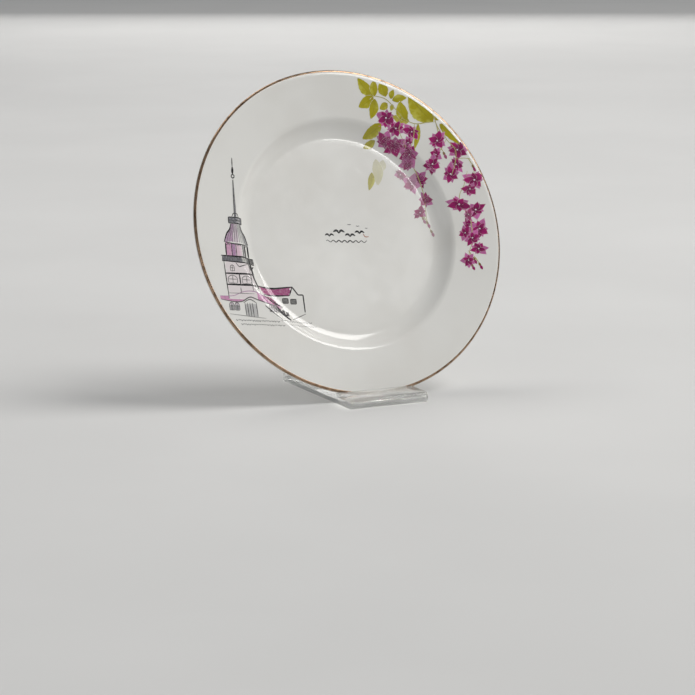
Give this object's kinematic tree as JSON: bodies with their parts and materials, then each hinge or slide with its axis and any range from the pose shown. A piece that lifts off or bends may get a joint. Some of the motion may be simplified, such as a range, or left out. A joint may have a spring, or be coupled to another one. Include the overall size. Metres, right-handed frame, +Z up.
{
  "type": "souvenir plate on a stand",
  "caption": "Round glazed porcelain plate with a gilded rim and fired transfers, leaning on a small stand bent from clear acrylic strip; it lifts off the stand.",
  "frame": {"origin": "centre of the stand's underside, on the table", "axes": "+X along the plate's width, +Z up, -Y towards the viewer of the plate's face"},
  "size_m": [0.25, 0.1248, 0.2347],
  "materials": {
    "porcelain": "clear gloss glaze",
    "gold": "bright fired gold",
    "tower_colours": "fired on-glaze colour",
    "blossom_colours": "fired on-glaze colour",
    "black_ink": "fired on-glaze colour",
    "acrylic": "clear, polished faces, sawn edges"
  },
  "bodies": {
    "stand": {"stand_base": "acrylic", "stand_back": "acrylic"},
    "plate": {"plate_body": "porcelain", "rim_gilding": "gold", "tower_transfer": "tower_colours", "blossom_transfer": "blossom_colours", "motif_transfer": "black_ink"}
  },
  "joints": [
    {"name": "plate_lift", "type": "slide", "parent": "stand", "child": "plate", "axis": [0, 0, 1], "range_m": [0, 0.13]}
  ]
}
